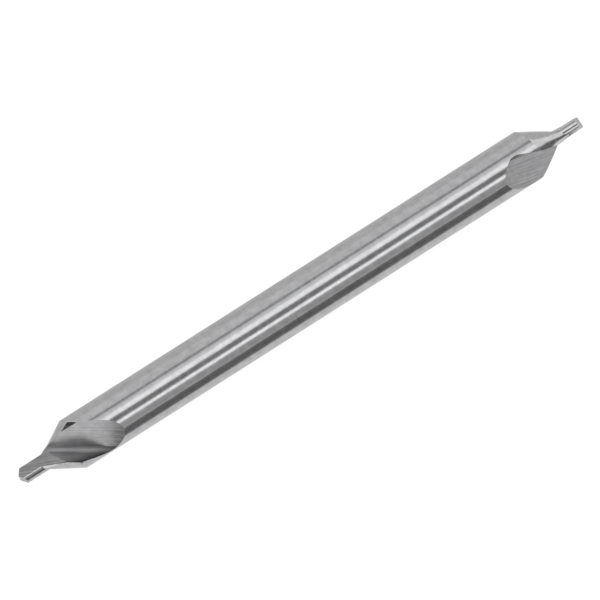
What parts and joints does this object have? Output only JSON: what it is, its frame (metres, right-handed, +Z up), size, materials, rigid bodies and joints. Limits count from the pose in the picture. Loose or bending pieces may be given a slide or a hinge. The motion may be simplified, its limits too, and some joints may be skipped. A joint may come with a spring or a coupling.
{
  "type": "centre drill",
  "caption": "Slim double-ended centre drill: a round ground shank with a short pilot drill, a 60 degree countersink and skewed flutes at each end.",
  "frame": {"origin": "on the tool's axis, midway between the two tips", "axes": "+X along the tool's axis towards end B, the end with the shorter flutes; +Z up with the tool lying flat"},
  "size_m": [0.0388, 0.0032, 0.0032],
  "materials": {
    "ground_steel": "ground"
  },
  "bodies": {
    "root": {"centre_drill": "ground_steel"}
  },
  "joints": []
}
